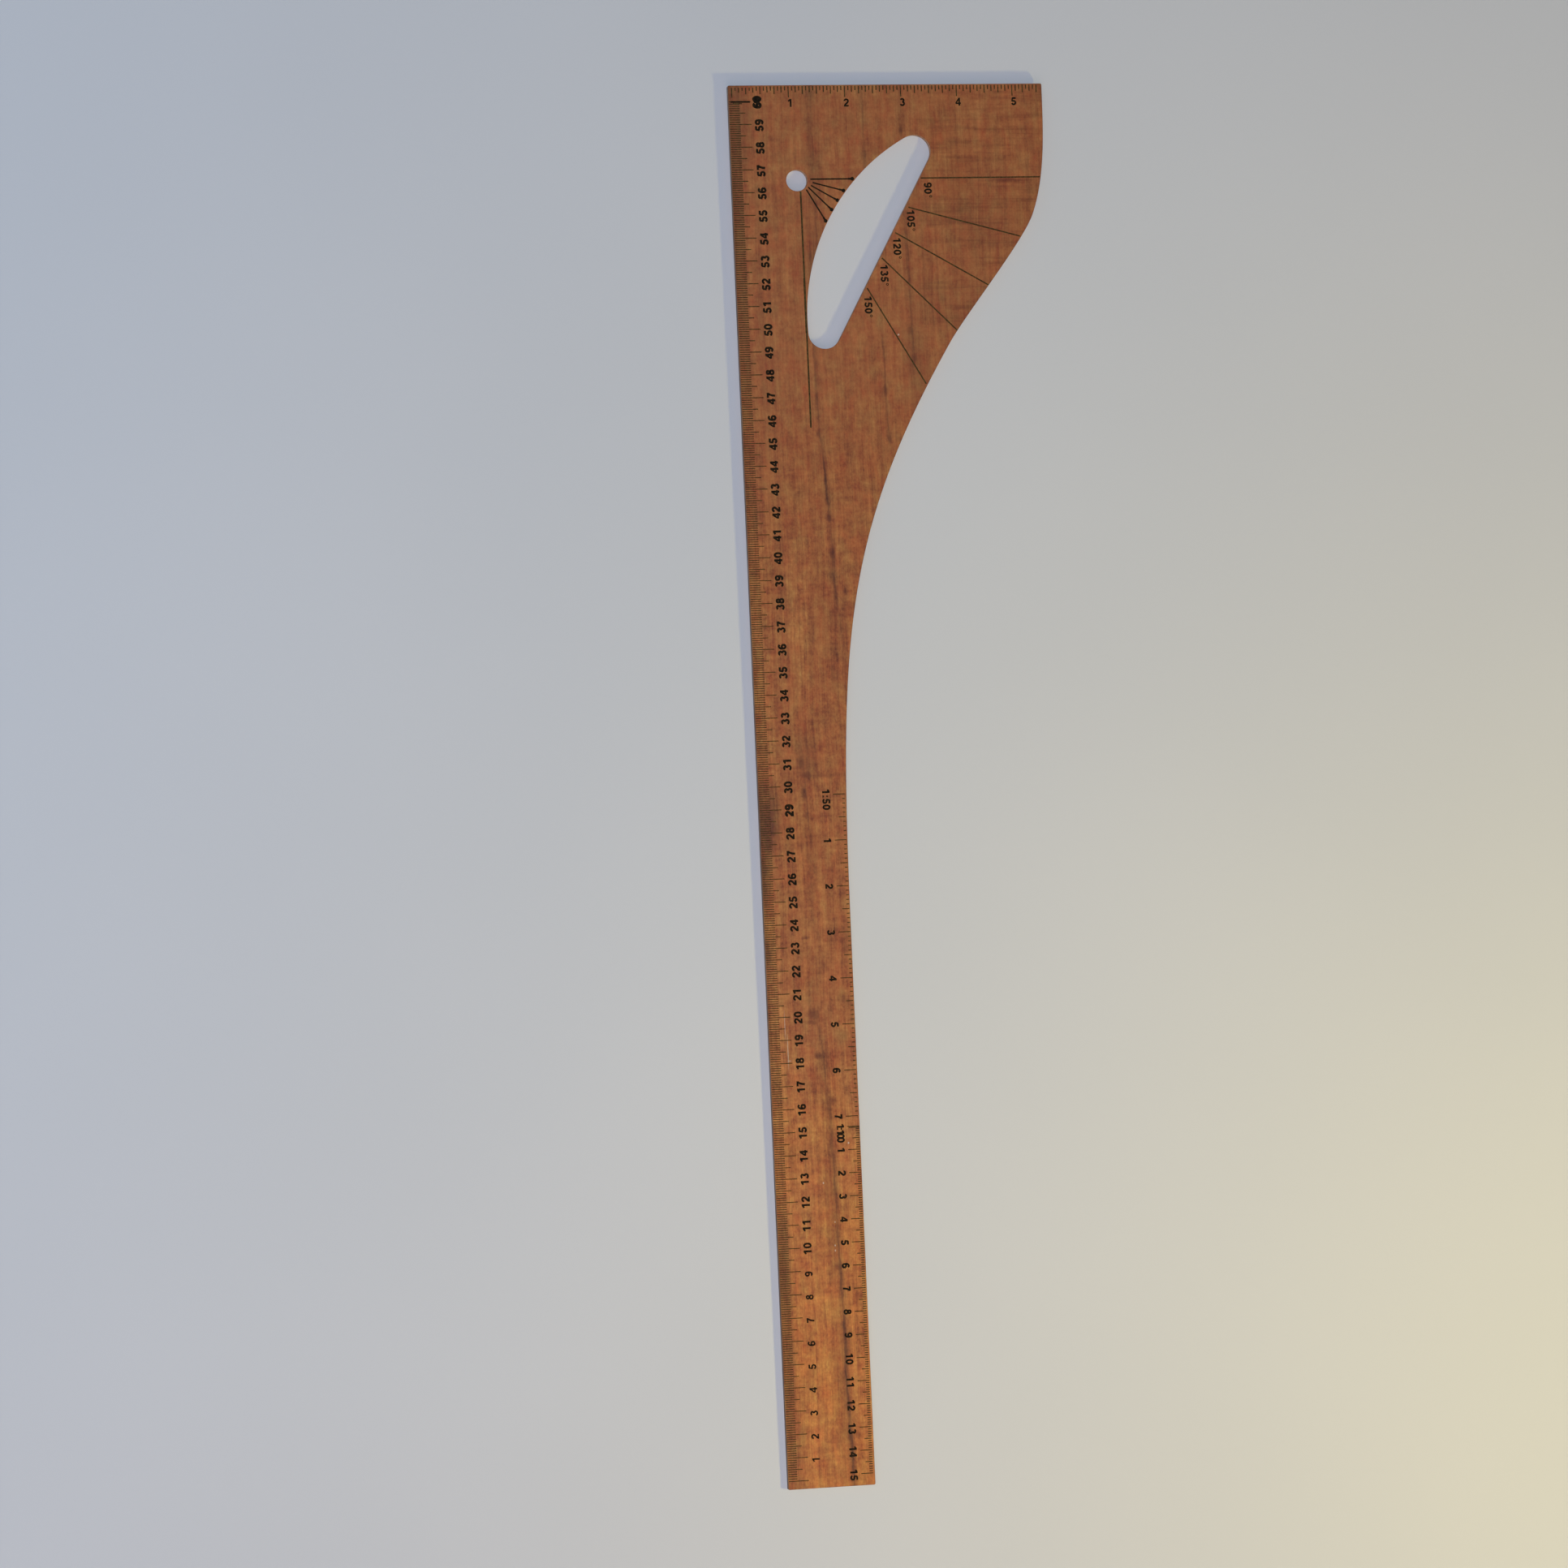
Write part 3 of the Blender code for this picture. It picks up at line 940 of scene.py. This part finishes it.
def face_wood():
    """Lacquered reddish hardwood veneer, with its own streaks, knots and ripple."""
    graph = Graph("face_veneer_wood")
    point = graph.board_point()
    x, y, _ = graph.split(point)
    grain_point = wandering(graph, point)

    lines = graph.noise(grain_point, (0.62, 0.010, 0.0), 5.0, 0.62, 1.0)
    threads = graph.noise(grain_point, (2.6, 0.07, 0.0), 3.0, 0.6, 5.0)
    pores = graph.noise(grain_point, (6.5, 0.55, 0.0), 2.0, 0.5, 9.0)
    mottle = graph.noise(grain_point, (0.15, 0.075, 0.0), 4.0, 0.6, 12.0)
    blotches = graph.noise(grain_point, (0.34, 0.26, 0.0), 3.0, 0.6, 41.0)
    speckle = graph.noise(point, (1.1, 0.8, 0.0), 3.0, 0.6, 2.0)
    bars = graph.noise(point, (0.05, 0.33, 0.0), 3.0, 0.6, 33.0)
    broad = graph.noise(grain_point, (0.035, 0.011, 0.0), 2.0, 0.5, 21.0)
    hue = graph.noise(grain_point, (0.20, 0.09, 0.0), 4.0, 0.65, 52.0)

    figure_place = graph.math(
        "MULTIPLY", graph.ramp(x, 74.0, 98.0, 0.12, 1.0), graph.ramp(y, 440.0, 530.0))
    ripples = graph.noise(point, (0.016, 0.17, 0.0), 4.0, 0.62, 6.0)
    threads_across = graph.noise(point, (0.028, 0.62, 0.0), 3.0, 0.6, 26.0)
    figure = graph.math(
        "ADD", graph.ramp(ripples, 0.46, 0.66, 0.0, 0.8),
        graph.ramp(threads_across, 0.5, 0.7, 0.0, 0.5))
    figure = graph.math("MULTIPLY", figure, figure_place)

    paler = graph.math("MULTIPLY_ADD", broad, 120.0, graph.math("SUBTRACT", y, 60.0))
    colour = graph.blend(graph.ramp(paler, 230.0, 60.0), WOOD_HEAD, WOOD_FOOT)
    middle = graph.math("MULTIPLY", graph.ramp(y, 150.0, 250.0), graph.ramp(y, 500.0, 430.0))
    colour = graph.tint(middle, colour, MIDDLE_TINT)
    calm = graph.ramp(y, 400.0, 490.0, 1.25, 0.80)
    colour = graph.varied(colour, (
        (lines, 1.15), (threads, 0.6), (mottle, 1.0), (blotches, 0.85), (speckle, 0.8),
        (bars, 0.6)), calm)
    warmth = graph.math("MULTIPLY_ADD", hue, 1.2, 0.4)
    colour = graph.vector("MULTIPLY", colour, graph.join(1.0, warmth, warmth))
    colour = graph.tint(figure, colour, FIGURE_TINT)

    warped = graph.noise(point, (0.3, 0.2, 0.0), 3.0, 0.55, 15.0)
    torn = graph.math("MULTIPLY_ADD", warped, 1.8, graph.math("SUBTRACT", x, 0.9))
    spot_point = graph.join(
        torn, graph.math("MULTIPLY_ADD", warped, -2.4, graph.math("ADD", y, 1.2)))
    streak_grain = graph.noise(point, (0.7, 0.05, 0.0), 4.0, 0.62, 30.0)
    streaks = graph.total([
        streak_share(graph, torn, y, streak_grain, streak) for streak in STREAKS])
    knots = graph.total([spot_share(graph, spot_point, spot) for spot in KNOTS])
    patches = graph.total([spot_share(graph, spot_point, spot) for spot in PATCHES])
    patches = graph.math("MULTIPLY", patches, graph.ramp(blotches, 0.30, 0.62, 0.5, 1.2))
    pales = graph.total([spot_share(graph, spot_point, spot) for spot in PALE_PATCHES])
    colour = graph.tint(graph.math("MINIMUM", pales, 1.0), colour, PALE_TINT)
    stains = graph.math("MINIMUM", graph.math("ADD", streaks, patches), 1.0)
    colour = graph.tint(stains, colour, STAIN_TINT)
    colour = graph.tint(graph.math("MINIMUM", knots, 1.0), colour, KNOT_TINT)
    colour = graph.tint(graph.ramp(pores, 0.60, 0.78, 0.0, 0.5), colour, PORE_TINT)

    head_band = graph.math(
        "MULTIPLY", graph.ramp(x, 5.6, 4.4), graph.ramp(y, 430.0, 570.0, 0.0, 0.48))
    edge_line = graph.ramp(graph.math("MULTIPLY_ADD", blotches, 1.2, x), 2.4, 0.8, 0.0, 0.2)
    foot_band = graph.math(
        "MULTIPLY", graph.ramp(torn, 8.6, 7.2), graph.ramp(y, 44.0, 30.0, 0.0, 0.22))
    ruling_band = graph.math(
        "MULTIPLY", graph.ramp(torn, 6.2, 4.6), graph.ramp(y, 125.0, 112.0, 0.0, 0.35))
    bands = graph.math("MAXIMUM", graph.math("MAXIMUM", foot_band, ruling_band), head_band)
    colour = graph.tint(graph.math("MAXIMUM", bands, edge_line), colour, STAIN_TINT)
    # The face is made greyer and less red near the outer edge; the attribute only gives the
    # nearness to that edge.
    rubbed = graph.node("ShaderNodeAttribute", attribute_name="rubbed").outputs["Fac"]
    rim = graph.ramp(graph.math("MULTIPLY_ADD", speckle, 0.6, rubbed), 0.60, 1.30, 0.0, 0.9)
    colour = graph.tint(rim, colour, RIM_TINT)
    # Painted glints: pale flecks where nicks and scratches catch the light.
    flecks_and_glints = graph.total([spot_share(graph, point, fleck_glint) for fleck_glint in PALE_FLECKS_AND_GLINTS])
    colour = graph.blend(graph.math("MINIMUM", flecks_and_glints, 1.0), colour, FLECK_AND_GLINT_COLOUR)

    height = graph.math("MULTIPLY_ADD", threads, 0.6, graph.math("MULTIPLY", pores, 0.5))
    gloss = graph.ramp(graph.noise(point, (0.05, 0.02, 0.0), 3.0), 0.3, 0.7, 0.42, 0.56)
    graph.shader.inputs["Coat Weight"].default_value = 0.08
    graph.shader.inputs["Coat Roughness"].default_value = 0.38
    graph.shader.inputs["Specular IOR Level"].default_value = 0.3
    return graph.finish(colour, gloss, height, 0.03, 0.5)


BURNT = (0.034, 0.020, 0.012, 1.0)
DEEP_CHAR = ((0.008, 0.006, 0.004, 1.0), (0.026, 0.017, 0.009, 1.0))
LIGHT_CHAR = ((0.040, 0.026, 0.011, 1.0), (0.092, 0.060, 0.020, 1.0))


def char(name, dark, light):
    """Burnt wood in the engraved marks, paler and rougher in places where it is only scorched."""
    graph = Graph(name)
    point = graph.board_point()
    patchy = graph.noise(point, (0.7, 0.7, 0.0), 4.0, 0.6, 4.0)
    fibres = graph.noise(point, (7.0, 0.9, 0.0), 2.0, 0.5, 7.0)
    colour = graph.blend(graph.ramp(patchy, 0.38, 0.66), dark, light)
    colour = graph.blend(graph.ramp(fibres, 0.5, 0.8, 0.0, 0.5), colour, light)
    graph.shader.inputs["Specular IOR Level"].default_value = 0.06
    return graph.finish(colour, graph.ramp(patchy, 0.3, 0.7, 0.8, 0.95), fibres, 0.02)


OUTER_TINT = (0.44, 0.42, 0.42, 1.0)
# A little grime and a painted bluish shade on the ruling edge's wall.
GRIME_AND_SHADE_TINT = (0.95, 1.15, 1.45, 1.0)


def cut_edge(name, light, dark, burn):
    """Scorched cut edge of a ply, with upright striations.

    The outer edges are darker than the slot's, and the ruling edge is the greyest, with a little
    grime and a painted bluish shade.
    """
    graph = Graph(name)
    point = graph.board_point()
    upright = graph.noise(point, (1.9, 1.9, 0.05), 3.0, 0.6, 11.0)
    patchy = graph.noise(point, (0.06, 0.06, 0.3), 3.0, 0.5, 14.0)
    fibres = graph.noise(point, (0.25, 0.25, 7.0), 3.0, 0.6, 17.0)
    colour = graph.blend(graph.ramp(patchy, 0.35, 0.65), light, dark)
    colour = graph.blend(graph.ramp(fibres, 0.45, 0.75, 0.0, 0.5), colour, dark)
    colour = graph.blend(graph.ramp(upright, 0.45, 0.70, 0.0, burn), colour, BURNT)
    outer = graph.node("ShaderNodeAttribute", attribute_name="rubbed").outputs["Fac"]
    colour = graph.tint(graph.ramp(outer, 0.3, 0.7), colour, OUTER_TINT)
    from_ruling_edge = graph.split(point)[0]
    # Painted bluish shade, with a little grime, towards the ruling edge.
    colour = graph.tint(graph.ramp(from_ruling_edge, 9.0, 2.0), colour, GRIME_AND_SHADE_TINT)
    height = graph.math("MULTIPLY_ADD", upright, 0.8, graph.math("MULTIPLY", fibres, 0.3))
    return graph.finish(colour, graph.ramp(patchy, 0.3, 0.7, 0.6, 0.78), height, 0.08)


def plain_wood(name, light, dark, per_mm, seed):
    """Unfinished ply wood, with its grain stretched as per_mm says."""
    graph = Graph(name)
    point = graph.board_point()
    grain = graph.noise(point, per_mm, 5.0, 0.6, seed)
    fine = graph.noise(point, tuple(3.5 * value for value in per_mm), 3.0, 0.6, seed + 3.0)
    mottle = graph.noise(point, (0.05, 0.025, 0.0), 4.0, 0.55, seed + 6.0)
    colour = graph.blend(graph.ramp(grain, 0.34, 0.70), light, dark)
    colour = graph.blend(graph.ramp(fine, 0.50, 0.78, 0.0, 0.5), colour, dark)
    colour = graph.tint(graph.ramp(mottle, 0.48, 0.72, 0.0, 0.5), colour, RED_TINT)
    height = graph.math("MULTIPLY_ADD", fine, 0.7, graph.math("MULTIPLY", grain, 0.3))
    return graph.finish(colour, graph.ramp(mottle, 0.3, 0.7, 0.5, 0.66), height, 0.04)


def glue():
    """Burnt resin glue seen as a thin dark line between the plies."""
    graph = Graph("glue_line")
    patchy = graph.noise(graph.board_point(), (0.5, 0.5, 0.5), 3.0, 0.6, 19.0)
    colour = graph.blend(graph.ramp(patchy, 0.35, 0.7), srgb(44, 30, 23), srgb(84, 58, 42))
    return graph.finish(colour, graph.ramp(patchy, 0.3, 0.7, 0.4, 0.6), patchy, 0.02)


# ---------------------------------------------------------------- the pieces


def layer(node):
    """A CAD node's floor and ceiling above the surface that the board lies on."""
    low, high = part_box(node)
    return (low.z - CAD_LOW.z) * PER_METRE, (high.z - CAD_LOW.z) * PER_METRE


def make_board():
    """The five bonded layers from the back to the face, and the char in the marks."""
    face_floor, face_ceiling = layer("face_veneer")
    core_floor, core_ceiling = layer("core_ply")
    back_floor, back_ceiling = layer("back_veneer")
    rubbed = EDGE_EASE / 3
    strokes = centimetre_scale() + inch_scale() + stem_scales() + angle_rays()

    line_char = char("line_char", *LIGHT_CHAR)
    number_char = char("number_char", *DEEP_CHAR)
    # The cut edges' pale colours are partly the wood's own colour and partly painted light: they
    # lift the slot's walls, which lie in shade, so that they look lit. The outer edges are tinted
    # back down in cut_edge.
    veneer_edge = cut_edge("veneer_cut_edge", srgb(196, 148, 110), srgb(170, 120, 86), 0.25)
    core_edge = cut_edge("core_cut_edge", srgb(206, 168, 132), srgb(176, 132, 98), 0.3)
    back_material = plain_wood(
        "back_veneer_wood", srgb(190, 140, 100), srgb(156, 104, 70), (0.7, 0.011, 0.0), 40.0)
    core_material = plain_wood(
        "core_wood", srgb(188, 142, 104), srgb(150, 104, 70), (0.012, 0.6, 0.3), 50.0)
    glue_material = glue()

    face = make_ply(
        "face_veneer_skin",
        ((0.0, face_floor), (0.0, face_ceiling - EDGE_EASE), (rubbed, face_ceiling - rubbed),
         (EDGE_EASE, face_ceiling)),
        [face_wood(), line_char, veneer_edge],
        strokes,
    )
    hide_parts("face_veneer")
    lines = [stroke for stroke in strokes if not stroke.deep]
    numbers = [stroke for stroke in strokes if stroke.deep]
    for name, group, material in (
            ("engraved_lines", lines, line_char), ("engraved_numbers", numbers, number_char)):
        make_char(name, face_ceiling, group, material)

    core = make_ply(
        "core_sheet",
        ((0.0, core_floor), (0.0, core_ceiling)),
        [core_material, line_char, core_edge],
    )
    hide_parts("core_ply")

    back = make_ply(
        "back_veneer_skin",
        ((EDGE_EASE, back_floor), (rubbed, back_floor + rubbed), (0.0, back_floor + EDGE_EASE),
         (0.0, back_ceiling)),
        [back_material, line_char, veneer_edge],
    )
    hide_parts("back_veneer")

    for name, floor, ceiling in (
            ("back_glue_film", back_ceiling, core_floor),
            ("face_glue_film", core_ceiling, face_floor)):
        film = make_ply(
            name,
            ((GLUE_RECESS, floor), (GLUE_RECESS, ceiling)),
            [glue_material, line_char, glue_material],
        )


# ---------------------------------------------------------------- studio


FLOOR_LIGHT = (0.636, 0.634, 0.632, 1.0)
FLOOR_DARK = (0.618, 0.618, 0.618, 1.0)


def make_floor():
    """A plain pale painted surface under the board, which slopes down towards the head."""
    graph = Graph("pale_paint")
    point = graph.board_point()
    roll = graph.noise(point, (0.35, 0.35, 0.35), 4.0, 0.6, 1.0)
    shade = graph.noise(point, (0.004, 0.004, 0.0), 2.0, 0.5, 5.0)
    colour = graph.blend(graph.ramp(shade, 0.3, 0.7), FLOOR_LIGHT, FLOOR_DARK)
    material = graph.finish(colour, 0.85, roll, 0.06, 0.35)
    reach = FLOOR_HALF_WIDTH * MM
    level = CAD_LOW.z - FLOOR_DROP * MM
    mesh = bpy.data.meshes.new("pale_floor")
    corners = [(-reach, -reach), (reach, -reach), (reach, reach), (-reach, reach)]
    zero_mark = metres((0.0, 0.0), 0.0).y
    mesh.from_pydata(
        [(x, y, level - FLOOR_SLOPE * (y - zero_mark)) for x, y in corners], [], [(0, 1, 2, 3)])
    mesh.materials.append(material)
    floor = bpy.data.objects.new("pale_floor", mesh)
    bpy.context.scene.collection.objects.link(floor)


SKY_COLOUR = (0.100, 0.105, 0.115)

# Each lamp is its name, place, target, size in metres, colour and power in watts. The warm key
# stands low to the right of the foot and throws the board's short shadow. The key wash is the
# same lamp again without a shadow, and the fills and the ceiling throw none either, so that the
# shadow stays pale.
KEY_PLACE, KEY_TARGET = (0.475, -0.391, 0.620), (0.15, -0.15, 0.0)
KEY_COLOUR = (1.0, 0.842, 0.245)
SHADOW_LAMP = "warm_key"
LAMPS = (
    (SHADOW_LAMP, KEY_PLACE, KEY_TARGET, 0.09, KEY_COLOUR, 2.36),
    ("key_wash", KEY_PLACE, KEY_TARGET, 0.09, KEY_COLOUR, 0.36),
    ("cool_fill", (-1.0, 0.1, 1.0), (-0.5, 0.0, 0.0), 1.0, (0.270, 0.600, 1.0), 5.9),
    ("warm_fill", (-0.35, -0.8, 1.5), (0.0, 0.0, 0.0), 1.0, (1.0, 0.665, 0.590), 6.3),
    ("ceiling", (-2.0, -0.4, 10.0), (0.0, 0.0, 0.0), 3.0, (0.772, 0.849, 1.0), 351.0),
)


def make_lights():
    world = bpy.data.worlds.new("studio")
    world.use_nodes = True
    background = world.node_tree.nodes["Background"]
    background.inputs["Color"].default_value = (*SKY_COLOUR, 1.0)
    bpy.context.scene.world = world
    for name, place, target, size, colour, power in LAMPS:
        lamp = bpy.data.lights.new(name, "AREA")
        lamp.size = size
        lamp.color = colour
        lamp.energy = power
        lamp.use_shadow = name == SHADOW_LAMP
        holder = bpy.data.objects.new(name, lamp)
        holder.location = place
        holder.rotation_mode = "QUATERNION"
        holder.rotation_quaternion = (Vector(target) - Vector(place)).to_track_quat("-Z", "Y")
        bpy.context.scene.collection.objects.link(holder)


def make_camera():
    """The camera stands left of the board and looks down on it, as in the photograph."""
    eye, target = Vector(CAMERA_EYE), Vector(CAMERA_TARGET)
    forward = (target - eye).normalized()
    upright = (Vector((0.0, 1.0, 0.0)) - forward * forward.y).normalized()
    up = Quaternion(forward, CAMERA_ROLL) @ upright
    right = forward.cross(up)
    turn = Matrix((right, up, -forward)).transposed()
    lens = bpy.data.cameras.new("camera")
    lens.lens = FOCAL_LENGTH
    lens.sensor_width = SENSOR_WIDTH
    lens.clip_start = 0.05
    lens.clip_end = 50.0
    camera = bpy.data.objects.new("camera", lens)
    camera.matrix_world = Matrix.Translation(eye) @ turn.to_4x4()
    bpy.context.scene.collection.objects.link(camera)
    bpy.context.scene.camera = camera


bpy.context.scene.view_settings.view_transform = "Standard"
make_camera()
make_board()
make_floor()
make_lights()
